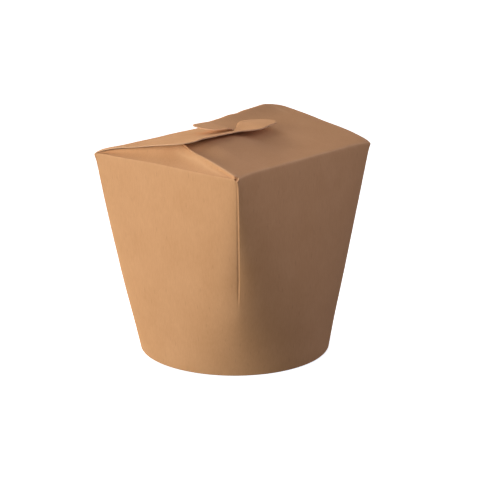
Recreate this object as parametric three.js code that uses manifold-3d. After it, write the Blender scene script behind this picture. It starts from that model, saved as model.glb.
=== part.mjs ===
// Noodle takeaway box: a round-based kraft carton that opens out to a rectangular top edge,
// shut by two long flaps whose round tabs lock over each other at the middle of the lid.
// Millimetres, +Z up, standing on its round base; the origin is the middle of the base.
import * as THREE from 'three';
import Module from 'manifold-3d';

// Size of the carton
const BASE_RADIUS = 46.8;        // outer radius of the round base
const TOP_HALF_X = 43.0;         // half the short way across the top edge
const TOP_HALF_Y = 51.5;         // half the long way across the top edge
const WALL_HEIGHT = 98.0;        // base to top edge
const BOARD = 0.5;               // thickness of a loose flap
const LAP = 0.25;                // how far a flap sinks into the closed lid where it lies on it
const BURY = 0.03;               // how far the lid covers the flap's edge where the two run on

// Foot of the carton
const RIM_WIDTH = 1.6;           // folded rim that the carton stands on
const RIM_DEPTH = 6.0;           // how far the round base sits above the table
const RIM_DRAFT = 0.3;           // lean of the rim's inner face

// Walls
const CORNER_ANGLE = Math.PI * 47.5 / 180;   // where a corner crease would reach the base circle
const HINGE_RISE = 1.45;         // how far the crease of a long wall stands above its corners
const CORNER_CROWDING = 0.75;    // how strongly the wall bends close to a corner, 0 for evenly
const WALL_BULGE = 0.6;          // how far the walls belly out half way up
const LONG_STEPS = 30;           // facets along a long wall
const SHORT_STEPS = 26;          // facets along a short wall
const WALL_ROWS = 7;             // facets up a wall

// Closing flap, measured from its hinge at the top edge (distance u) and along it (y)
const MID_RISE = [0.2844, -0.00153];    // height over the top edge along the middle: slope and bend
const OVER_RISE = [0.300, -0.0015];     // the same along the end that lies on top
const UNDER_RISE = [0.2674, 0.00049];   // the same along the end that lies underneath
const END_ROLL = [1.45, 1.05];   // how far the lower and the upper end stand up, most near the corner
const SWELL = 2.9;               // how far the lower half swells up in front of the other flap's edge
const EDGE_LIFT = 1.7;           // how far the free edge of the upper half stands up
const FLARE = 2.7;               // how far the upper corner runs out past the end wall
const FREE_X = -15.85;           // free edge near the tab, past the middle of the lid
const CORNER_OUT = 0.95;         // how much further out the free edge is at its rounded corner
const CORNER_X = -9.7;           // where the rounded upper corner starts
const CORNER_RADIUS = 7.0;
const NOTCH_Y = 19.0;            // shallow notch between the free edge and the tab
const NOTCH_DEPTH = 0.85;
const TAB_CENTRE = [-5.6, -8.9]; // middle of the round tab
const TAB_RADII = [8.9, 9.4];
const TAB_LIFT = 2.3;            // how far the tab's inner edge stands up
const SLIT_END = -0.3;           // where the slit stops, just past the middle of the lid
const HINGE_X = TOP_HALF_X - 0.6;    // where a loose flap leaves the lid

// End panels
const END_LEAN = 0.5;            // how far an end panel leans in for each millimetre it rises
const LEDGE = 0.1;               // crease left between an end wall and its panel

const clamp = THREE.MathUtils.clamp;
const lerp = THREE.MathUtils.lerp;

function smooth(t) {
  const c = clamp(t, 0, 1);
  return c * c * (3 - 2 * c);
}

function curve(coefficients, u) {
  return coefficients[0] * u + coefficients[1] * u * u;
}

// Rise of the crease where a flap is hinged, from the corner by its lower end to the corner by its upper end.
function hingeRise(y) {
  const fromLower = 1 - Math.exp(-Math.max(0, TOP_HALF_Y + y) / 6);
  const fromUpper = 1 - Math.exp(-Math.max(0, TOP_HALF_Y - y) / 3);
  return HINGE_RISE * fromLower * fromUpper;
}

// Height of a closing flap over the top edge; the flap is hinged at x = +TOP_HALF_X.
function flapRise(x, y) {
  const u = TOP_HALF_X - x;
  const v = clamp(y / TOP_HALF_Y, -1, 1);
  const middle = curve(MID_RISE, u);
  const end = curve(y > 0 ? OVER_RISE : UNDER_RISE, u);
  const alongEdge = smooth((y + 1) / 20) * (1 - 0.7 * smooth((y - 40) / 12));
  const lift = EDGE_LIFT * alongEdge * clamp((u - 45) / 14, 0, 1) ** 2;
  const fade = v < 0 ? 1 - smooth((u - 16) / 20) : 1 - smooth((u - 10) / 22);
  const roll = END_ROLL[v < 0 ? 0 : 1] * (1 - Math.exp(-Math.max(0, u) / 1.6)) * fade * v ** 6;
  const hinge = hingeRise(y) * clamp(1 - u / TOP_HALF_X, 0, 1) ** 2;
  const swellAcross = smooth(u / 28) * (1 - smooth((u - 30) / 13));
  const swell = SWELL * swellAcross * smooth((-y - 1) / 18) * (1 - smooth((-y - 34) / 13));
  return middle + (end - middle) * v * v + hinge + lift + roll + swell;
}

// How far the tab stands up over that height: most at its inner edge, where the slit sets it free.
function tabRise(x, y) {
  const inwards = 1 - 0.8 * (TAB_CENTRE[0] + TAB_RADII[0] - x) / (2 * TAB_RADII[0]);
  return TAB_LIFT * smooth((SLIT_END - y) / 8.2) * clamp(inwards, 0, 1);
}

// Height of the closed lid over the top edge. The other flap is the same one turned half round,
// and the lid is the lower of the two. A flap's upper half lies on the lid as a sheet of its own,
// so there the lid passes just under the sheet's face; its lower half is the lid's own face.
function lidRise(x, y) {
  const u = TOP_HALF_X - Math.abs(x);
  const under = (side) => lerp(-BURY, LAP * Math.min(1, u / 1.5), smooth((side + 0.3) / 2.5));
  return Math.min(flapRise(x, y) - under(y), flapRise(-x, -y) - under(-y));
}

// Spaces points along a wall's top edge, closer together towards both of its corners.
function crowded(f) {
  return f + CORNER_CROWDING / Math.PI * Math.sin(Math.PI * f);
}

// Outline of the walls at the top edge and at the base; side 0 faces +X, then on anticlockwise.
function wallPoint(side, f, t) {
  const long = side % 2 === 0;
  const spread = long ? CORNER_ANGLE : Math.PI / 2 - CORNER_ANGLE;
  const along = long ? TOP_HALF_Y : TOP_HALF_X;
  const out = long ? TOP_HALF_X : TOP_HALF_Y;
  const w = crowded(f);
  const local = new THREE.Vector2(
    lerp(BASE_RADIUS * Math.cos(spread * f), out, t),
    lerp(BASE_RADIUS * Math.sin(spread * f), along * w, t),
  );
  local.setLength(local.length() + WALL_BULGE * 4 * t * (1 - t));
  return local.rotateAround(new THREE.Vector2(0, 0), side * Math.PI / 2);
}

function wallRing(t) {
  const ring = [];
  for (let side = 0; side < 4; side++) {
    const steps = side % 2 === 0 ? LONG_STEPS : SHORT_STEPS;
    for (let i = 0; i < steps; i++) {
      const p = wallPoint(side, 2 * i / steps - 1, t);
      const rise = t === 1 && side % 2 === 0 ? hingeRise(p.y * Math.sign(p.x)) : 0;
      ring.push(new THREE.Vector3(p.x, p.y, t * WALL_HEIGHT + rise));
    }
  }
  return ring;
}

function circleRing(radius, z) {
  return wallRing(0).map((p) => new THREE.Vector3(p.x, p.y, 0)
    .multiplyScalar(radius / BASE_RADIUS).setZ(z));
}

// Two facets for each cell of a grid; the grid turns anticlockwise seen from outside.
function gridFaces(rows, columns, at) {
  const faces = [];
  for (let i = 0; i < rows; i++) {
    for (let j = 0; j < columns; j++) {
      faces.push(at(i, j), at(i + 1, j), at(i + 1, j + 1));
      faces.push(at(i, j), at(i + 1, j + 1), at(i, j + 1));
    }
  }
  return faces;
}

// Foot and walls: the underside of the round base, the rim round it, then the walls in rows.
function footAndWalls() {
  const rings = [
    circleRing(BASE_RADIUS - RIM_WIDTH - RIM_DRAFT, RIM_DEPTH),
    circleRing(BASE_RADIUS - RIM_WIDTH, 0),
  ];
  for (let r = 0; r <= WALL_ROWS; r++) {
    rings.push(wallRing(r / WALL_ROWS));
  }
  const n = rings[0].length;
  const points = [new THREE.Vector3(0, 0, RIM_DEPTH), ...rings.flat()];
  const at = (i, ring) => 1 + ring * n + i % n;
  const faces = gridFaces(n, rings.length - 1, at);
  for (let i = 0; i < n; i++) {
    faces.push(0, at(i + 1, 0), at(i, 0));
  }
  return { points, faces };
}

// Where the lid meets an end panel: the panel leans in as it rises.
function panelTop(x, end) {
  let y = end * TOP_HALF_Y;
  for (let k = 0; k < 30; k++) {
    y = end * (TOP_HALF_Y - LEDGE - END_LEAN * Math.max(0, lidRise(x, y)));
  }
  return y;
}

// The closed lid with a leaning panel at each end; its border is the top edge of the walls.
function lid() {
  const points = [];
  for (let i = 0; i <= SHORT_STEPS; i++) {
    const f = 2 * i / SHORT_STEPS - 1;
    const near = panelTop(TOP_HALF_X * f, -1);
    const far = panelTop(TOP_HALF_X * f, 1);
    for (let j = 0; j <= LONG_STEPS; j++) {
      const g = 2 * j / LONG_STEPS - 1;
      if (Math.abs(f) === 1 || Math.abs(g) === 1) {
        const x = TOP_HALF_X * crowded(f);
        const y = TOP_HALF_Y * crowded(g);
        const rise = Math.abs(f) === 1 ? hingeRise(y * Math.sign(x)) : 0;
        points.push(new THREE.Vector3(x, y, WALL_HEIGHT + rise));
      } else {
        const x = TOP_HALF_X * f;
        const y = lerp(near, far, (j - 1) / (LONG_STEPS - 2));
        points.push(new THREE.Vector3(x, y, WALL_HEIGHT + lidRise(x, y)));
      }
    }
  }
  const faces = gridFaces(SHORT_STEPS, LONG_STEPS, (i, j) => i * (LONG_STEPS + 1) + j);
  return { points, faces };
}

// Joins shapes along the points that they share.
function welded(shapes) {
  const points = [];
  const faces = [];
  const known = new Map();
  for (const shape of shapes) {
    const places = shape.points.map((p) => {
      const key = p.toArray().map((c) => Math.round(c * 1e4)).join(' ');
      if (!known.has(key)) {
        known.set(key, points.length);
        points.push(p);
      }
      return known.get(key);
    });
    faces.push(...shape.faces.map((k) => places[k]));
  }
  return { points, faces };
}

// Free edge of the upper half of a flap, from the slit (0) to the rounded corner (1).
function freeEdge(s) {
  const arcStart = TOP_HALF_Y + FLARE - CORNER_RADIUS;
  if (s < 0.6) {
    const y = lerp(SLIT_END, arcStart, s / 0.6);
    return new THREE.Vector2(outerX(y), y);
  }
  const a = (s - 0.6) / 0.4 * Math.PI / 2;
  return new THREE.Vector2(
    lerp(CORNER_X, outerX(arcStart), Math.cos(a)),
    arcStart + CORNER_RADIUS * Math.sin(a),
  );
}

// Outer edge of the flap between the rounded corner and the widest place of the tab.
function outerX(y) {
  const notch = NOTCH_DEPTH * Math.exp(-(((y - NOTCH_Y) / 3.8) ** 2));
  const curl = 0.0051 * Math.max(0, 8 - y) ** 2;
  return FREE_X - CORNER_OUT * smooth((y - 22) / 20) + notch + curl;
}

// Outer and inner edge of the round tab; the inner one is the slit, which ends in the middle of the lid.
function tabEdges(y) {
  const [x, middle] = TAB_CENTRE;
  if (y < middle) {
    const q = Math.min(1, (middle - y) / TAB_RADII[1]);
    const share = Math.max(0.03, Math.sqrt(1 - q * q));
    const outerShare = Math.max(0.03, (1 - q ** 2.6) ** (1 / 2.6));
    return [lerp(x, outerX(middle), outerShare), x + TAB_RADII[0] * share];
  }
  const t = (SLIT_END - y) / (SLIT_END - middle);
  return [outerX(y), (x + TAB_RADII[0]) * (1 - (1 - t) ** 2.5)];
}

// A board-thick sheet over the kept cells of a grid of plan points, with its cut edges closed.
function sheet(grid, kept) {
  const rows = grid.length;
  const points = [];
  for (const drop of [0, BOARD]) {
    for (const p of grid.flat()) {
      const rise = flapRise(p.x, p.y) + tabRise(p.x, p.y);
      points.push(new THREE.Vector3(p.x, p.y, WALL_HEIGHT + rise - drop));
    }
  }
  const at = (i, j) => i * grid[0].length + j;
  const under = points.length / 2;
  const faces = [];
  const edges = new Map();
  for (let i = 0; i + 1 < rows; i++) {
    for (let j = 0; j + 1 < grid[0].length; j++) {
      if (!kept(i, j)) {
        continue;
      }
      const corners = [at(i, j), at(i + 1, j), at(i + 1, j + 1), at(i, j + 1)];
      faces.push(corners[0], corners[1], corners[2], corners[0], corners[2], corners[3]);
      faces.push(corners[0] + under, corners[2] + under, corners[1] + under);
      faces.push(corners[0] + under, corners[3] + under, corners[2] + under);
      corners.forEach((p, k) => edges.set(`${p} ${corners[(k + 1) % 4]}`, [p, corners[(k + 1) % 4]]));
    }
  }
  for (const [p, q] of edges.values()) {
    if (!edges.has(`${q} ${p}`)) {
      faces.push(p, p + under, q + under, p, q + under, q);
    }
  }
  return { points, faces };
}

// One closing flap: the half that lies on top, from the hinge to the free edge, and the tab,
// which runs on over the other flap. The half that lies underneath is part of the closed lid.
function closingFlap() {
  const acrossTab = 8;
  const toHinge = 16;
  const downTab = 16;
  const alongFlap = 28;
  const grid = [];
  for (let i = 0; i <= acrossTab + toHinge; i++) {
    const line = [];
    for (let j = 0; j < downTab; j++) {
      const down = 1 - Math.cos(Math.PI / 2 * j / downTab);
      const y = lerp(TAB_CENTRE[1] - TAB_RADII[1], SLIT_END, down);
      const [outer, inner] = tabEdges(y);
      line.push(new THREE.Vector2(lerp(outer, inner, Math.min(1, i / acrossTab)), y));
    }
    for (let j = 0; j <= alongFlap; j++) {
      const s = j / alongFlap;
      const edge = freeEdge(s);
      const hinge = new THREE.Vector2(HINGE_X, lerp(SLIT_END, TOP_HALF_Y - 0.1, s));
      const split = HINGE_X / (HINGE_X - outerX(SLIT_END));
      const t = i < acrossTab
        ? lerp(1, split, i / acrossTab)
        : lerp(split, 0, (i - acrossTab) / toHinge);
      line.push(hinge.lerp(edge, t));
    }
    grid.push(line);
  }
  return sheet(grid, (i, j) => i < acrossTab || j >= downTab);
}

const wasm = await Module();
wasm.setup();

function solid(shape) {
  return new wasm.Manifold(new wasm.Mesh({
    numProp: 3,
    vertProperties: new Float32Array(shape.points.flatMap((p) => [p.x, p.y, p.z])),
    triVerts: new Uint32Array(shape.faces),
  }));
}

// The same shape turned half round about the upright axis.
function turned(shape) {
  return { points: shape.points.map((p) => new THREE.Vector3(-p.x, -p.y, p.z)), faces: shape.faces };
}

function joined(shapes) {
  let whole = solid(shapes[0]);
  for (const shape of shapes.slice(1)) {
    whole = whole.add(solid(shape));
  }
  return whole.asOriginal().simplify(0.004);
}

function toGeometry(body) {
  const mesh = body.getMesh();
  const geometry = new THREE.BufferGeometry();
  const positions = new Float32Array(mesh.vertProperties);
  geometry.setAttribute('position', new THREE.BufferAttribute(positions, 3));
  geometry.setIndex(new THREE.BufferAttribute(new Uint32Array(mesh.triVerts), 1));
  geometry.computeVertexNormals();
  return geometry;
}

function material(color, roughness) {
  return new THREE.MeshStandardMaterial({ color, roughness, metalness: 0 });
}

const flap = closingFlap();
const whole = joined([welded([footAndWalls(), lid()]), flap, turned(flap)]);

const group = new THREE.Group();
group.name = 'noodle_takeaway_box';
const box = new THREE.Mesh(toGeometry(whole), material('#c9986c', 0.85));
box.name = 'carton';
group.add(box);

export default group;
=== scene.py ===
import math

import bpy
import numpy as np
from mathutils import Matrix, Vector


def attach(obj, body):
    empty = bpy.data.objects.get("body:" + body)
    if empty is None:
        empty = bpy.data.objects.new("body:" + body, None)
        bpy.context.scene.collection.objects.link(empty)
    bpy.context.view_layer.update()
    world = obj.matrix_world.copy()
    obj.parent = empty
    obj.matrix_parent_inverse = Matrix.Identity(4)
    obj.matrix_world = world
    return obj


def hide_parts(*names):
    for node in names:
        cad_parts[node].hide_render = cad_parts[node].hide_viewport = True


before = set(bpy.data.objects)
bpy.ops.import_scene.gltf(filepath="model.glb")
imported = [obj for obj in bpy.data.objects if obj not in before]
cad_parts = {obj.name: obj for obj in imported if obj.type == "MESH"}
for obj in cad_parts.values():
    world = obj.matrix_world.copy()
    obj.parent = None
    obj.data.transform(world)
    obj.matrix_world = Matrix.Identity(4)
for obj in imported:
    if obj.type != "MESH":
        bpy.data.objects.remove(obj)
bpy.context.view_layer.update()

# The wrapper: one die-cut blank of kraft board that makes the walls, the rolled foot, the end panels
# and both closing flaps. It is creased, bent round the base, glued up one side, and its long flaps
# are locked over each other by their tabs to shut it. Lengths in this section are in millimetres.
BASE_RADIUS = 46.8
TOP_HALF = (43.0, 51.5)            # half the top edge, out to a long wall and out to an end wall
WALL_HEIGHT = 98.0
WALL_BULGE = 0.6                   # belly of the walls half way up
CORNER_ANGLE = math.radians(47.5)  # from the middle of a long wall to a corner's place on the base
CORNER_CROWDING = 0.75             # 0 spaces the rulings evenly at the top edge, 1 the most unevenly
BOARD = 0.45                       # thickness of the board
HINGE_RISE = 1.45                  # of a long wall's crease over its corners
HINGE_RISE_OVER = (6, 3)           # the distances that it takes at the tucked and the upper end
END_RISE = 0.75                    # of an end wall's crease
RISE_FROM, RISE_BAND = 0.85, 0.15  # share of the height below which there is no rise, and the rest


def smooth(x):
    """Goes from 0 to 1 as x does, level at both ends: three x squared less two x cubed."""
    c = np.clip(x, 0.0, 1.0)
    return c * c * (3.0 - 2.0 * c)


def crowded(f):
    """Place along a top edge, from -1 to 1: the even place plus a sine that draws points to the
    corners."""
    return f + CORNER_CROWDING / math.pi * np.sin(math.pi * f)


def hinge_rise(y):
    """How far the crease at the top of a long wall stands above its two corners: one less an
    exponential of the distance to each. y runs along the flap hinged there, from its tucked end to
    its upper end."""
    tucked_end = 1 - np.exp(-np.maximum(TOP_HALF[1] + y, 0) / HINGE_RISE_OVER[0])
    upper_end = 1 - np.exp(-np.maximum(TOP_HALF[1] - y, 0) / HINGE_RISE_OVER[1])
    return HINGE_RISE * tucked_end * upper_end


def end_rise(x):
    """The same at the top of an end wall: an exponential at one corner and a smooth fading away
    towards the other. x runs from the side of the flap on top there to that of the tucked one."""
    return END_RISE * smooth((30 - x) / 45) * (1 - np.exp(-np.maximum(TOP_HALF[0] + x, 0) / 2))


def wall(s, t):
    """Point of the outer wall face. s goes round the four walls, 0 to 4, from the +X wall; t goes
    up, 0 to 1. Each ruling joins a point of the base circle to a point of the rectangular top edge,
    with a belly that is a parabola in t."""
    s = np.mod(s, 4.0)
    side = np.floor(s)
    f = 2.0 * (s - side) - 1.0
    wide = side % 2 == 0
    spread = np.where(wide, CORNER_ANGLE, math.pi / 2 - CORNER_ANGLE)
    out = np.where(wide, TOP_HALF[0], TOP_HALF[1])
    along = np.where(wide, TOP_HALF[1], TOP_HALF[0])
    a = (1 - t) * BASE_RADIUS * np.cos(spread * f) + t * out
    b = (1 - t) * BASE_RADIUS * np.sin(spread * f) + t * along * crowded(f)
    grow = 1 + WALL_BULGE * 4 * t * (1 - t) / np.hypot(a, b)
    turn = side * math.pi / 2
    x = grow * (a * np.cos(turn) - b * np.sin(turn))
    y = grow * (a * np.sin(turn) + b * np.cos(turn))
    rise = np.where(wide, hinge_rise(y * np.sign(x)), end_rise(-x * np.sign(y)))
    z = t * WALL_HEIGHT + rise * smooth((t - RISE_FROM) / RISE_BAND)
    return np.stack([x, y, z], axis=-1)


SCORE_FOOT = 0.375    # share of the wall's height at which the pressed corner creases end
SHARP_REACH = 0.016   # reach of the easing across a creased corner, one wall being 1 wide
ROUND_REACH = 0.10    # the same below the creases, where the board is bent round


def rounded_wall(s, t):
    """The wall with its corners eased: the mean of nearby points on the same level, weighted by a
    bell and taken wider towards the foot, where the board bends round without a crease."""
    reach = (SHARP_REACH * smooth((1 - t) / 0.03)
             + ROUND_REACH * smooth((SCORE_FOOT + 0.03 - t) / 0.30))
    offsets = np.linspace(-1.5, 1.5, 9)
    weights = np.exp(-offsets ** 2)
    return sum(w * wall(s + k * reach, t) for w, k in zip(weights / weights.sum(), offsets))


def out_of(grid, amount):
    """Moves each point of a grid along its outward normal, the cross product of the two grid
    directions."""
    normal = np.cross(np.gradient(grid, axis=0), np.gradient(grid, axis=1))
    length = np.linalg.norm(normal, axis=-1, keepdims=True)
    return grid + normal / np.maximum(length, 1e-9) * amount[..., None]


DRAWN_IN = (0.95, 0.35)    # beside a corner with a flap's tucked end, and beside the others
DRAWN_IN_OVER = 3.4        # the distance over which that fades
CORNER_SCALE = (72, 24)    # millimetres to one wall's width close to a corner, at foot and top


def drawn_in(s, t):
    """How far the wall next to an upper corner is drawn in towards the long axis: an exponential of
    the distance from the corner, because the end wall starts to bend before it reaches its
    crease."""
    distance = np.abs(s - np.round(s)) * (CORNER_SCALE[1] * t + CORNER_SCALE[0] * (1 - t))
    length = smooth((t - SCORE_FOOT + 0.05) / 0.2) * smooth((1 - t) / 0.05)
    depth = np.where(np.round(s) % 2 == 0, *DRAWN_IN)
    return depth * length * np.exp(-distance / DRAWN_IN_OVER)


SCORE_WIDTH = 0.34
SCORE_GROOVE = (0.23, 0.55)     # depth, and distance from the corner
SCORE_RIDGE = (0.10, -0.05)     # height of the ridge pushed up beside it, and its place
SCORE_SCALE = (69.4, 21.5)      # millimetres to one end wall's width close to a corner


def score_depth(s, t):
    """Crease pressed down each upper corner, just on the end wall's side: a narrow bell across the
    crease and a lower one the other way beside it, full depth from the top edge to a little over
    half way down, with a soft lower end."""
    corner = np.round(s)
    towards_end = np.where(corner % 2 == 1, 1.0, -1.0)
    across = (s - corner) * towards_end * (SCORE_SCALE[1] * t + SCORE_SCALE[0] * (1 - t))
    length = smooth((t - SCORE_FOOT) / 0.05) * smooth((1 - t) / 0.012)
    groove = -SCORE_GROOVE[0] * np.exp(-((across - SCORE_GROOVE[1]) / SCORE_WIDTH) ** 2)
    ridge = SCORE_RIDGE[0] * np.exp(-((across - SCORE_RIDGE[1]) / SCORE_WIDTH) ** 2)
    return length * (groove + ridge)


SEAM_PLACE = 2.12     # round the walls, close to a back corner
SEAM_STEP = 0.42      # nearly one board
SEAM_LAP = 26.0       # width of the glued lap under it


def seam_step(s, t):
    """Lap of the glued side seam: a step of one board that fades away from its edge."""
    across = (s - SEAM_PLACE) * 100.0
    upright = smooth((1 - t) / 0.02) * smooth(t / 0.01)
    return SEAM_STEP * smooth(across / 0.9) * smooth((SEAM_LAP - across) / 22.0) * upright


COLUMNS = 96          # of the mesh on each wall
FOOT_ROLL = 0.6       # radius of the outer bend under the foot
half = COLUMNS // 2
even = np.linspace(-1, 1, COLUMNS + 1)
place = np.sign(even) * (1 - (1 - np.abs(even)) ** 1.45)
round_wall = np.concatenate([side + (place[:-1] + 1) / 2 for side in range(4)])
near_top = [93, 94, 95, 96, 96.6, 97, 97.3, 97.55, 97.75, 97.9, 98]
heights = np.concatenate([np.linspace(FOOT_ROLL, 92, 42), near_top]) / WALL_HEIGHT
S, T = np.meshgrid(np.append(round_wall, 4.0), heights, indexing="ij")
sides = rounded_wall(S, T)
sides[..., 1] -= np.sign(sides[..., 1]) * drawn_in(S, T)
sides = out_of(sides, score_depth(S, T) + seam_step(S, T))
sides[:, -1] = wall(S[:, -1], T[:, -1])
sides[-1] = sides[0]

# The foot of the wrapper: its lower edge is turned in and up round the base disc, so the carton
# stands on a narrow rolled ring. The profile runs from the wall, under the ring and up its inside,
# and is two quarter circles and a short upright, carried round the base circle.
FOOT_WIDTH = 1.6
FOOT_DEPTH = 6.0
FOOT_BEND = 0.4       # radius of the inner bend
bend = np.linspace(0, math.pi / 2, 6)
inset = np.concatenate([FOOT_ROLL - FOOT_ROLL * np.cos(bend),
                        FOOT_WIDTH - FOOT_BEND + FOOT_BEND * np.sin(bend),
                        [FOOT_WIDTH + 0.1, FOOT_WIDTH + 0.3]])
level = np.concatenate([FOOT_ROLL - FOOT_ROLL * np.sin(bend),
                        FOOT_BEND - FOOT_BEND * np.cos(bend),
                        [2.4, FOOT_DEPTH - 0.15]])
radius = np.linalg.norm(sides[:, :1, :2], axis=-1, keepdims=True)
ring = sides[:, :1, :2] / radius
foot = np.concatenate([ring * (radius - inset[None, :, None]),
                       np.broadcast_to(level[None, :, None], (len(sides), len(level), 1))], axis=-1)
foot = foot[:, ::-1]
foot[:, -1] = sides[:, 0]

# The closing flaps of the wrapper: each is hinged on a long wall. One half lies on top and runs past
# the middle to a free edge with a rounded corner and a round tab; the other half is tucked
# underneath the opposite flap. The two flaps are the half turn of each other.
MID_RISE = (0.2844, -0.00153)     # slope and curve of the lid away from the hinge, at the middle
OVER_RISE = (0.300, -0.0015)      # the same at a flap's upper end
UNDER_RISE = (0.2674, 0.00049)    # and at its tucked end
END_ROLL = (1.45, 1.05)           # how far the tucked and the upper end stand up beside the hinge
END_ROLL_OVER = 1.6
SWELL = 2.9                       # of the tucked half in front of the other flap's edge
EDGE_LIFT = 1.7                   # of the free edge over the parabola
FLARE = 2.3                       # how far the upper half runs out past the end wall
FREE_X = -15.85                   # place of the free edge, over the middle from the hinge
CORNER_OUT = 0.95                 # how much further over it is at its rounded corner
CORNER_X = -9.7                   # where that corner ends
CORNER_RADIUS = 7.0
TAB_CENTRE = (-5.6, -8.9)
TAB_RADII = (8.9, 9.4)
TAB_POWER = 2.6                   # 2 would make the tab's outer side an ellipse, more fills it out
TAB_LIFT = 2.3
SLIT_END = -0.3                   # y of the end of the slit between the tab and the tucked half
EDGE_CURL = 0.4                   # how far the free edge curls down
TUCKED_EDGE = 4.0                 # x of the tucked half's hidden edge
TUCKED_INSET = 5.6                # how far short of the end wall that edge stops
PINCH = 2.0                       # how far an end is pushed in where the other flap's corner crosses
END_LEAN = 0.5                    # how far the ends lean in for each millimetre that they go up
HEM = 0.5                         # radius of the folded hem along a tucked end


def flap_rise(x, y):
    """Height of a flap's outer face over the top edge: a parabola in the distance from its hinge,
    with other factors at the middle and at the two ends, blended by the square of y. To that are
    added the crease's own rise, a lift along the free edge, a roll that stands up along the two
    ends and fades away from the hinge, and a swell of the tucked half, a hump in x and y."""
    u = TOP_HALF[0] - x
    v = np.clip(y / TOP_HALF[1], -1, 1)
    middle, over, under = (slope * u + curve * u * u
                           for slope, curve in (MID_RISE, OVER_RISE, UNDER_RISE))
    hinge = hinge_rise(y) * np.clip(1 - u / TOP_HALF[0], 0, 1) ** 2
    along = smooth((y + 1) / 20) * (1 - 0.7 * smooth((y - 40) / 12))
    lift = EDGE_LIFT * along * np.clip((u - 45) / 14, 0, 1) ** 2
    roll = np.where(v < 0, END_ROLL[0] * (1 - smooth((u - 16) / 20)),
                    END_ROLL[1] * (1 - smooth((u - 10) / 22)))
    roll = roll * (1 - np.exp(-np.maximum(u, 0) / END_ROLL_OVER)) * v ** 6
    swell = (SWELL * smooth(u / 28) * (1 - smooth((u - 30) / 13))
             * smooth((-y - 1) / 18) * (1 - smooth((-y - 34) / 13)))
    return middle + (np.where(y > 0, over, under) - middle) * v * v + hinge + lift + roll + swell


def tab_rise(x, y):
    """How far the tab stands up over that: it grows away from the slit's end and towards the inner
    edge."""
    inwards = 1 - 0.8 * (TAB_CENTRE[0] + TAB_RADII[0] - x) / (2 * TAB_RADII[0])
    return TAB_LIFT * smooth((SLIT_END - y) / 8.2) * np.clip(inwards, 0, 1)


NOTCH_DEPTH, NOTCH_PLACE, NOTCH_WIDTH = 0.85, 19.0, 3.8
TAB_NECK, NECK_CURVE = 8, 0.0051      # where the edge starts to draw in towards the tab, and how


def outer_edge(y):
    """x of the flap's outer edge: nearly straight, with a shallow bell-shaped notch, drawing in
    round the tab by the square of y."""
    notch = NOTCH_DEPTH * np.exp(-((y - NOTCH_PLACE) / NOTCH_WIDTH) ** 2)
    neck = NECK_CURVE * np.maximum(0, TAB_NECK - y) ** 2
    return FREE_X - CORNER_OUT * smooth((y - 22) / 20) + notch + neck


def free_edge(s):
    """Free edge of the upper half as s goes from 0 at the slit to 1: the outer edge, then a quarter
    ellipse round the corner."""
    start = TOP_HALF[1] + FLARE - CORNER_RADIUS
    y = SLIT_END + (start - SLIT_END) * np.minimum(s / 0.6, 1)
    a = np.clip((s - 0.6) / 0.4, 0, 1) * math.pi / 2
    x = np.where(s < 0.6, outer_edge(y), CORNER_X + (outer_edge(start) - CORNER_X) * np.cos(a))
    return np.stack([x, np.where(s < 0.6, y, start + CORNER_RADIUS * np.sin(a))], axis=-1)


def pinch(x):
    """How far the end is pushed in at x: a smooth hump."""
    return PINCH * smooth((17 - x) / 12) * smooth((x + 8) / 10)


def hinged(s, w):
    """Plan point of a flap: straight lines from the hinge, w 0, to the far end of that half of the
    flap, w 1. s goes along the flap, -1 to 0 over the tucked half and 0 to 1 over the upper one."""
    hinge = np.stack([TOP_HALF[0] + 0 * s, TOP_HALF[1] * crowded(s)], axis=-1)
    under_y = SLIT_END + (TOP_HALF[1] - TUCKED_INSET + SLIT_END) * s
    under = np.stack([TUCKED_EDGE * smooth(-8 * s), np.where(s < 0, under_y, 0)], axis=-1)
    end = np.where((s < 0)[..., None], under, free_edge(np.maximum(s, 0)))
    plan = hinge + (end - hinge) * w[..., None]
    plan[..., 1] += np.where(s < 0, pinch(plan[..., 0]) * np.abs(s) ** 6, 0)
    return plan


LID_GAP = 0.75        # of the tucked half under the upper flap's face: a board and some air
CURL_WIDTH = 2.6      # of the curled strip along the free edge


def raised(plan, tucked):
    """Lifts plan points onto a flap's face. The tucked half stays under the other flap; the upper
    half gets the tab's rise and, along its free edge, a curl by the square of the nearness."""
    x, y = plan[..., 0], plan[..., 1]
    z = flap_rise(x, y)
    if tucked:
        z = np.minimum(z, flap_rise(-x, -y) - LID_GAP * smooth((TOP_HALF[0] - x) / 12))
    else:
        near_edge = np.clip(1 - (x - outer_edge(y)) / CURL_WIDTH, 0, 1)
        curl = EDGE_CURL * near_edge ** 2 * smooth((y - 2) / 8) * smooth((46 - y) / 8)
        z = z + tab_rise(x, y) - curl
    return np.concatenate([plan, (WALL_HEIGHT + z)[..., None]], axis=-1)


def folded_hem(edge, inward, size):
    """Folded end of a crease: round a half circle of the given size below the edge, then back
    underneath. edge is the line where the fold starts on the face, inward points from it over the
    face in plan."""
    a = np.linspace(0, math.pi, 9)[None, :, None]
    r = size[:, None, None]
    up = np.array([0, 0, 1.0])
    turn = edge[:, None] + inward * r * -np.sin(a) + up * r * (-1 - np.cos(a))
    run = np.linspace(0, 1, 5)[None, 1:, None]
    back = turn[:, :1] + inward * run * np.minimum(14 * r, 6) - 0.25 * up * r * run
    return np.concatenate([back[:, ::-1], turn], axis=1)


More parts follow.
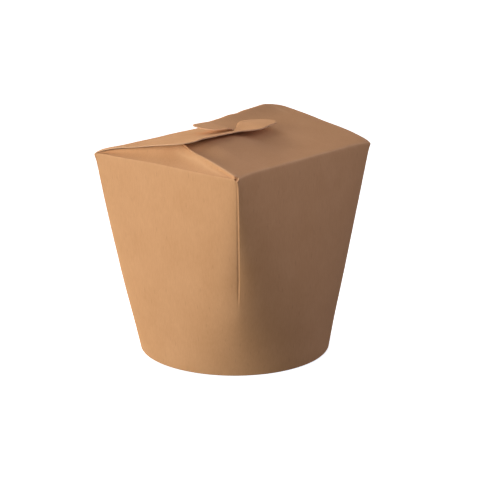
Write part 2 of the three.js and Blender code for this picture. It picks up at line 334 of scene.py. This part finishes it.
inner_rows = np.concatenate([[0, 0.003, 0.007, 0.012, 0.018, 0.026], np.linspace(0.04, 1, 38)])
split = TOP_HALF[0] / (TOP_HALF[0] - float(outer_edge(SLIT_END)))
outer_rows = split + (1 - split) * np.linspace(0, 1, 22)[1:]
W, F = np.meshgrid(inner_rows, place[:half + 1], indexing="ij")
tucked_half = raised(hinged(F, W), True)
W, F = np.meshgrid(np.concatenate([inner_rows * split, outer_rows]), place[half:], indexing="ij")
upper_half = raised(hinged(F, W), False)
tucked_half[:, -1] = upper_half[:len(inner_rows), 0]

# The tab of each flap: cut from the same board, it runs on past the slit's end over the other flap.
# It is a round tongue, half an ellipse on its inner side and a fuller power curve on its outer side.
LEAST = 4e-4          # keeps the tip a hair wide, so that its faces don't turn over
quarter = np.linspace(0, math.pi / 2, 30)
down = SLIT_END + (TAB_CENTRE[1] - TAB_RADII[1] - SLIT_END) * np.sin(quarter)
q = np.clip((TAB_CENTRE[1] - down) / TAB_RADII[1], 0, 1)
slit = 1 - (1 - np.clip((SLIT_END - down) / (SLIT_END - TAB_CENTRE[1]), 0, 1)) ** 2.5
right = np.where(down < TAB_CENTRE[1],
                 TAB_CENTRE[0] + TAB_RADII[0] * np.sqrt(np.maximum(LEAST, 1 - q * q)),
                 (TAB_CENTRE[0] + TAB_RADII[0]) * slit)
fuller = np.maximum(LEAST, 1 - q ** TAB_POWER) ** (1 / TAB_POWER)
left = TAB_CENTRE[0] + (outer_edge(np.maximum(down, TAB_CENTRE[1])) - TAB_CENTRE[0]) * fuller
across_tab = (np.concatenate([[split], outer_rows]) - split) / (1 - split)
plan = np.stack([right[None] + (left - right)[None] * across_tab[:, None],
                 np.broadcast_to(down, (len(across_tab), len(down)))], axis=-1)
tab = raised(plan, False)[:, ::-1]
tab[:, -1] = upper_half[len(inner_rows) - 1:, 0]

fold = HEM * smooth((TOP_HALF[0] - tucked_half[:, 0, 0]) / 5.0)
tucked_hem = folded_hem(tucked_half[:, 0], np.array([0, 1.0, 0]), np.maximum(fold, 1e-4))

# The end panels of the wrapper: each short wall goes on up as a panel that leans in under the flaps,
# then folds over and is tucked in level below them, held there by nothing but the shut lid.
PANEL_GAP = 1.15      # between the panel's upper fold and the lid's outer face
PANEL_HOLLOW = 1.1    # how far the panel is pushed in between its two creases
PANEL_TUCK = 16       # length that is folded in under the lid


def end_panel(places):
    """Grid of one end panel: up the lean from the top edge to just under the lid, hollow by a sine
    on the way, then in along the lid. Where it meets the lid is found by repeating the lean from
    the lid's height."""
    x0 = TOP_HALF[0] * crowded(places)
    x = x0 * 0.3 + TOP_HALF[0] * places * 0.7
    u = TOP_HALF[0] - np.abs(x)
    gap = PANEL_GAP * smooth(u / 5)
    y = np.full_like(x, -TOP_HALF[1])
    for _ in range(40):
        lid = np.minimum(flap_rise(x, y), flap_rise(-x, -y))
        y = END_LEAN * lid - TOP_HALF[1]
    top = np.maximum(end_rise(x0), lid - gap)
    y = y + pinch(x) * smooth(u / 10)
    up = np.concatenate([np.linspace(0, 0.08, 5), np.linspace(0.13, 1, 18)])
    xs = x0[None] + (x - x0)[None] * up[:, None]
    hollow = PANEL_HOLLOW * np.sin(math.pi * up ** 0.7)[:, None] * smooth(u / 14)[None]
    low_edge = end_rise(x0)
    lean = np.stack([xs, (y + TOP_HALF[1])[None] * up[:, None] - TOP_HALF[1] + hollow,
                     WALL_HEIGHT + low_edge[None] + (top - low_edge)[None] * up[:, None]], axis=-1)
    tuck = np.linspace(0, 1, 12)[1:, None] * PANEL_TUCK * smooth(u / 10)[None]
    ys = y[None] + tuck
    xs = np.broadcast_to(x, ys.shape)
    low = np.minimum(flap_rise(xs, ys), flap_rise(-xs, -ys)) - gap - 0.05 * tuck
    flat = np.stack([xs, ys, WALL_HEIGHT + np.maximum(low, 0)], axis=-1)
    return np.concatenate([lean, flat])


def half_turn(grid):
    """The same grid turned half round about the upright axis."""
    return grid * np.array([-1.0, -1.0, 1.0])


def from_creases(points):
    """Distances of points from the creases at the top of the long walls and of the end walls, each
    taken square to the crease."""
    x, y, z = points.T
    long_z = z - WALL_HEIGHT - hinge_rise(y * np.sign(x))
    end_z = z - WALL_HEIGHT - end_rise(-x * np.sign(y))
    return np.hypot(np.abs(x) - TOP_HALF[0], long_z), np.hypot(np.abs(y) - TOP_HALF[1], end_z)


LONG_EASE = (0.27, 0.2)     # how far a long crease is rounded inwards and down
END_EASE = (0.1, 0.1)       # the same for an end crease


def eased(points):
    """Rounds the bent top edges: points are pulled in and down by an exponential of their distance
    from the crease."""
    x, y, z = points.T
    to_long, to_end = from_creases(points)
    long_edge = np.exp(-to_long / 0.55) * smooth((51.0 - np.abs(y)) / 3)
    end_edge = np.exp(-to_end / 0.7) * smooth((42.5 - np.abs(x)) / 3)
    pull = np.stack([-LONG_EASE[0] * np.sign(x) * long_edge, -END_EASE[0] * np.sign(y) * end_edge,
                     -LONG_EASE[1] * long_edge - END_EASE[1] * end_edge])
    return points + pull.T


def unevenness(points):
    """Slight waves of bent board: sums of long sines, under a quarter of a millimetre, the same
    wherever parts meet."""
    x, y, z = points.T
    wave = np.stack([np.sin(y / 9.0 + z / 17.0 + 0.6) + 0.6 * np.sin(y / 4.7 - z / 12.0),
                     np.sin(x / 8.0 - z / 15.0 + 1.9) + 0.6 * np.sin(x / 4.3 + z / 11.0),
                     0.8 * np.sin(x / 7.0 + y / 9.0 + 0.4) + 0.5 * np.sin(y / 3.9 - x / 6.1) - 1.3],
                    axis=-1)
    return points + 0.09 * wave * smooth((z - 4) / 30)[:, None]


EYE_INSET = np.array([0.25, -0.15, -0.1])   # how far a pinhole's middle lies in from its corner
EYE_WAY = np.array([0.66, -0.60, 0.45])     # the way out from the corner
EYE_DEPTH, EYE_WIDTH = 1.6, 0.78
RIM_HEIGHT, RIM_RADIUS, RIM_WIDTH = 0.36, 1.45, 0.5


def corner_eyes(points):
    """Pinholes where the creases meet: near each corner beside a tucked flap the board is pushed in
    by a narrow bell, with a raised ring round it, a bell in the distance from that ring."""
    for turn_sign in (1.0, -1.0):
        flip = np.array([turn_sign, turn_sign, 1.0])
        eye = np.array([TOP_HALF[0], -TOP_HALF[1], WALL_HEIGHT]) - EYE_INSET
        radius = np.linalg.norm(points - eye * flip, axis=1)
        push = (RIM_HEIGHT * np.exp(-((radius - RIM_RADIUS) / RIM_WIDTH) ** 2)
                - EYE_DEPTH * np.exp(-(radius / EYE_WIDTH) ** 2))
        points = points + (EYE_WAY * flip) * push[:, None]
    return points


FOLD_WIDTH = 0.6      # over which the paler wear and painted highlight of a fold fade
END_WEAR_AND_HIGHLIGHT = 0.3        # the end creases get less of that wear and painted highlight


def folds(points):
    """Nearness to a fold: exponentials of the distance to the creases at the top edges and to the
    folded end of each tucked flap. The board's colour is made paler by it: scuffed fibre, and a
    painted highlight along the folds."""
    x, y, z = points.T
    to_long, to_end = from_creases(points)
    turned = np.where(y < 0, 1.0, -1.0)
    u = TOP_HALF[0] - x * turned
    end_y = -TOP_HALF[1] + END_LEAN * (UNDER_RISE[0] * u + UNDER_RISE[1] * u * u)
    tucked = (np.exp(-np.abs(y * turned - end_y) / FOLD_WIDTH)
              * smooth((42 - u) / 4) * smooth((z - WALL_HEIGHT) / 0.5))
    # how much paler the board is painted here: scuffed fibre and a painted highlight on the folds
    wear_and_highlight = np.exp(-to_long / FOLD_WIDTH) + END_WEAR_AND_HIGHLIGHT * np.exp(-to_end / FOLD_WIDTH) + tucked
    return np.clip(wear_and_highlight, 0, 1)


def sheet_object(name, grids, finish=None, folds=None):
    """A mesh from grids of points in millimetres, joined where their points meet. folds gives, for
    a point, how near it is to a fold, from 0 to 1, kept as a point attribute that the board's
    colour reads."""
    points, faces, base = [], [], 0
    for grid in grids:
        n, m = grid.shape[:2]
        k = base + np.arange(n * m).reshape(n, m)
        faces.append(np.stack([k[:-1, :-1], k[1:, :-1], k[1:, 1:], k[:-1, 1:]], axis=-1).reshape(-1, 4))
        points.append(grid.reshape(-1, 3))
        base += n * m
    points, faces = np.concatenate(points), np.concatenate(faces)
    _, first, same = np.unique(np.round(points, 3), axis=0, return_index=True, return_inverse=True)
    points, faces = points[first], same.reshape(-1)[faces]
    near_fold = folds(points) if folds else np.zeros(len(points))
    if finish:
        points = finish(points)
    polygons = [list(dict.fromkeys(face)) for face in faces.tolist()]
    mesh = bpy.data.meshes.new(name)
    mesh.from_pydata((points * 0.001).tolist(), [], [p for p in polygons if len(p) > 2])
    kept = mesh.attributes.new("fold", "FLOAT", "POINT")
    kept.data.foreach_set("value", near_fold.astype(np.float32))
    mesh.validate()
    mesh.shade_smooth()
    made = bpy.data.objects.new(name, mesh)
    bpy.context.scene.collection.objects.link(made)
    return made


flap = [grid.swapaxes(0, 1) for grid in (tucked_half, upper_half, tab, tucked_hem)]
panel = end_panel(place).swapaxes(0, 1)
wrapper = sheet_object(
    "wrapper", [sides, foot, *flap, *map(half_turn, flap), panel, half_turn(panel)],
    lambda points: corner_eyes(unevenness(eased(points))), folds)
thickness = wrapper.modifiers.new("board", "SOLIDIFY")
thickness.thickness = BOARD * 0.001
thickness.offset = -1
thickness.material_offset = 1
thickness.material_offset_rim = 2
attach(wrapper, "root")
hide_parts("carton")


def linear(colour):
    """An sRGB hex colour as linear red, green, blue and 1."""
    c = np.array([int(colour[i:i + 2], 16) for i in (1, 3, 5)]) / 255
    return (*np.where(c <= 0.04045, c / 12.92, ((c + 0.055) / 1.055) ** 2.4).tolist(), 1.0)


def node(tree, kind, output, settings):
    """Adds a node and gives one of its outputs, by name or number. Each setting fills a property or
    a socket of that name or number, and one that is another node's output is linked to it."""
    made = tree.nodes.new(kind)
    for key, value in settings.items():
        if isinstance(key, str) and key not in made.inputs:
            setattr(made, key, value)
        elif isinstance(value, bpy.types.NodeSocket):
            tree.links.new(value, made.inputs[key])
        else:
            made.inputs[key].default_value = value
    return made.outputs[output]


# The sizes of the board's patterns, as so many to the metre: clouds of pulp 14 mm across, fibres
# 0.7 mm apart, which is coarser than real ones so that they show, and bark flecks 2.4 mm apart.
CLOUDS = 70.0
FIBRES = 1500.0
FLECKS = 420.0
FIBRE_RUN = 0.22            # squeezes the fibres' pattern upright, so that they are 4.5 times longer
NOISE_SPAN = {"From Min": 0.3, "From Max": 0.7}     # nearly all of a noise lies between these
CLOUD_TONE = (0.32, 0.68)   # from the dark pulp, 0, to the light pulp, 1
STREAK_TONE = 0.22          # a fibre's streak is this much lighter or darker
FLECK_SIZE = (0.05, 0.16)   # a fleck's radius where it is full and where it ends, 1 being their space
FLECK_STRENGTH = 0.16
FLECK_COLOUR = "#8A5F3E"
ROUGH_SPREAD = 0.06
FIBRE_HEIGHT = 0.00003
COLOUR_A, COLOUR_B, MIXED_COLOUR = 6, 7, 2          # a colour mix's sockets and its output


def kraft_board(name, light, dark, wear_and_highlight, roughness):
    """Uncoated kraft board, pressed from brown wood pulp on a wire: short fibres lie mostly up and
    down the blank, so it is matt, softly clouded and finely streaked, with small dark flecks of
    bark, and paler fibre scuffed where it is folded, which also paints a highlight along the folds."""
    material = bpy.data.materials.new(name)
    material.use_nodes = True
    tree = material.node_tree
    tree.nodes.clear()
    where = node(tree, "ShaderNodeTexCoord", "Object", {})
    along = node(tree, "ShaderNodeMapping", "Vector",
                 {"Vector": where, "Scale": (1.0, 1.0, FIBRE_RUN)})
    cloud = node(tree, "ShaderNodeTexNoise", "Fac",
                 {"Vector": where, "Scale": CLOUDS, "Detail": 3.0, "Roughness": 0.55})
    fibre = node(tree, "ShaderNodeTexNoise", "Fac",
                 {"Vector": along, "Scale": FIBRES, "Detail": 4.0, "Roughness": 0.6, "Distortion": 0.4})
    fleck = node(tree, "ShaderNodeTexVoronoi", "Distance",
                 {"Vector": along, "Scale": FLECKS, "Randomness": 1.0})
    cloudy = node(tree, "ShaderNodeMapRange", "Result",
                  {**NOISE_SPAN, "Value": cloud, "To Min": CLOUD_TONE[0], "To Max": CLOUD_TONE[1]})
    streaky = node(tree, "ShaderNodeMapRange", "Result",
                   {**NOISE_SPAN, "Value": fibre, "To Min": -STREAK_TONE, "To Max": STREAK_TONE})
    tone = node(tree, "ShaderNodeMath", "Value",
                {"operation": "ADD", "use_clamp": True, 0: cloudy, 1: streaky})
    pulp = node(tree, "ShaderNodeMix", MIXED_COLOUR,
                {"data_type": "RGBA", "Factor": tone, COLOUR_A: linear(dark), COLOUR_B: linear(light)})
    speck = node(tree, "ShaderNodeMapRange", "Result",
                 {"Value": fleck, "From Min": FLECK_SIZE[0], "From Max": FLECK_SIZE[1],
                  "To Min": 1.0, "To Max": 0.0})
    specked = node(tree, "ShaderNodeMath", "Value",
                   {"operation": "MULTIPLY", 0: speck, 1: FLECK_STRENGTH})
    flecked = node(tree, "ShaderNodeMix", MIXED_COLOUR,
                   {"data_type": "RGBA", "Factor": specked, COLOUR_A: pulp,
                    COLOUR_B: linear(FLECK_COLOUR)})
    # Paler towards the folds: scuffed fibre, and a painted highlight along the creases.
    fold = node(tree, "ShaderNodeAttribute", "Fac", {"attribute_name": "fold"})
    rubbed_and_highlight = node(tree, "ShaderNodeMath", "Value", {"operation": "MULTIPLY", 0: fold, 1: cloudy})
    colour = node(tree, "ShaderNodeMix", MIXED_COLOUR,
                  {"data_type": "RGBA", "Factor": rubbed_and_highlight, COLOUR_A: flecked, COLOUR_B: linear(wear_and_highlight)})
    bump = node(tree, "ShaderNodeBump", "Normal",
                {"Strength": 0.35, "Distance": FIBRE_HEIGHT, "Height": fibre})
    rough = node(tree, "ShaderNodeMapRange", "Result",
                 {**NOISE_SPAN, "Value": fibre, "To Min": roughness - ROUGH_SPREAD,
                  "To Max": roughness + ROUGH_SPREAD})
    shader = node(tree, "ShaderNodeBsdfPrincipled", "BSDF",
                  {"Specular IOR Level": 0.1, "Base Color": colour, "Roughness": rough,
                   "Normal": bump})
    tree.links.new(shader, tree.nodes.new("ShaderNodeOutputMaterial").inputs["Surface"])
    return material


# The face of the board, its back, which is a little greyer, and its cut edge, which is paler. The
# last colour of each goes on along the folds, as scuffed fibre and as a painted highlight.
kraft = kraft_board("kraft_board_face", "#D2A073", "#C49264", "#DDB083", 0.85)
kraft_back = kraft_board("kraft_board_back", "#D0A077", "#C2936A", "#DCB189", 0.88)
kraft_edge = kraft_board("kraft_board_cut_edge", "#DBB088", "#CDA079", "#E0B990", 0.9)
for board in (kraft, kraft_back, kraft_edge):
    wrapper.data.materials.append(board)

# The base: a round disc of the same kraft board, die-cut and set up inside the rolled foot, which
# holds it by its rim. It domes by a cosine of the radius, and its rim is pressed down a little.
DISC_LEVEL = 3.0
DISC_DOME = 0.25
RIM_DROP = 0.9
turn = np.linspace(0, 2 * math.pi, 129)
across = np.array([0.0001, 8, 16, 24, 32, 38, 42, 44.2, 45.0])
A, R = np.meshgrid(turn, across, indexing="ij")
disc = np.stack([R * np.cos(A), -R * np.sin(A),
                 DISC_LEVEL + DISC_DOME * np.cos(R / 15) - RIM_DROP * smooth((R - 43.6) / 1.4)],
                axis=-1)
base_disc = sheet_object("base_disc", [disc])
base_disc.data.materials.append(kraft)
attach(base_disc, "root")

# The studio: a plain pale floor that shines a little of itself and throws nothing back at the
# carton, low soft lights from the left and from behind it, weaker fills from the right, the front
# and above, and a camera at the photograph's angle. From here on lengths are in metres.
FLOOR_HALF = 4000     # in millimetres, as sheet_object takes them
U, V = np.meshgrid(np.linspace(-FLOOR_HALF, FLOOR_HALF, 5), np.linspace(-FLOOR_HALF, FLOOR_HALF, 5),
                   indexing="ij")
floor = sheet_object("floor", [np.stack([U, V, 0 * U - 0.05], axis=-1)])
pale = bpy.data.materials.new("studio_floor")
pale.use_nodes = True
paint = pale.node_tree.nodes["Principled BSDF"].inputs
paint["Base Color"].default_value = linear("#F2F2F0")
paint["Roughness"].default_value = 0.9
paint["Emission Color"].default_value = (1.0, 1.0, 1.0, 1.0)
paint["Emission Strength"].default_value = 0.8
floor.data.materials.append(pale)
floor.visible_diffuse = False
floor.visible_glossy = False

CAMERA_AZIMUTH = math.radians(39.193)
CAMERA_ELEVATION = math.radians(15.692)
CAMERA_DISTANCE = 0.6738
AIM = np.array([0.0, 0.0, 0.04905])


def direction(azimuth, elevation):
    """Unit vector towards a place seen at an azimuth round the object and an elevation, azimuth 0
    being -Y: sines and cosines of the two angles."""
    return np.array([math.sin(azimuth) * math.cos(elevation),
                     -math.cos(azimuth) * math.cos(elevation), math.sin(elevation)])


def looking(thing, azimuth, elevation, distance):
    """Sets a camera or light at a distance from the carton's middle, looking at it."""
    back = direction(azimuth, elevation)
    made = bpy.data.objects.new(thing.name, thing)
    made.location = AIM + back * distance
    made.rotation_euler = Vector(-back).to_track_quat("-Z", "Y").to_euler()
    bpy.context.scene.collection.objects.link(made)
    return made


lens = bpy.data.cameras.new("camera")
lens.sensor_width = 36.0
lens.lens = 103.95
lens.shift_x = 0.010656
lens.shift_y = 0.014717
lens.clip_end = 20.0
bpy.context.scene.camera = looking(lens, CAMERA_AZIMUTH, CAMERA_ELEVATION, CAMERA_DISTANCE)


def lit(light, azimuth, elevation, distance):
    """Sets a light, its azimuth in degrees to the right of the camera and its elevation too."""
    return looking(light, CAMERA_AZIMUTH + math.radians(azimuth), math.radians(elevation), distance)


SUN_SPREAD = 40
BOX_SIZE = 0.3


def far_light(name, azimuth, elevation, strength):
    """A wide even light from far away, SUN_SPREAD degrees across."""
    light = bpy.data.lights.new(name, "SUN")
    light.energy = math.pi * strength
    light.angle = math.radians(SUN_SPREAD)
    return lit(light, azimuth, elevation, 2.0)


def near_light(name, azimuth, elevation, distance, watts):
    """A round soft box close to the carton, so that it fades from the near parts to the far ones."""
    light = bpy.data.lights.new(name, "AREA")
    light.shape = "DISK"
    light.size = BOX_SIZE
    light.energy = watts
    return lit(light, azimuth, elevation, distance)


# The light from behind gives no sheen, which would grey the left flap at its grazing angle, and the
# three weaker fills are a little cool, as the photograph's shaded walls are.
FILL_COLOUR = (1.0, 0.99, 1.2)
far_light("key_light", -56, 3, 0.46)
far_light("front_light", -39, 11, 0.35)
far_light("back_light", -148, 10, 1.7).visible_glossy = False
rim = far_light("rim_light", 120, 3, 0.44)
near_light("side_box", -60, 0, 0.5, 1.34)
front = near_light("front_box", 45, 40, 0.35, 0.34)
top = near_light("top_box", -80, 60, 0.35, 0.24)
for fill in (rim, front, top):
    fill.data.color = FILL_COLOUR

world = bpy.data.worlds.new("studio")
world.use_nodes = True
world.node_tree.nodes["Background"].inputs["Color"].default_value = (1.0, 1.0, 1.0, 1.0)
world.node_tree.nodes["Background"].inputs["Strength"].default_value = 0.0
bpy.context.scene.world = world
bpy.context.scene.view_settings.view_transform = "Standard"
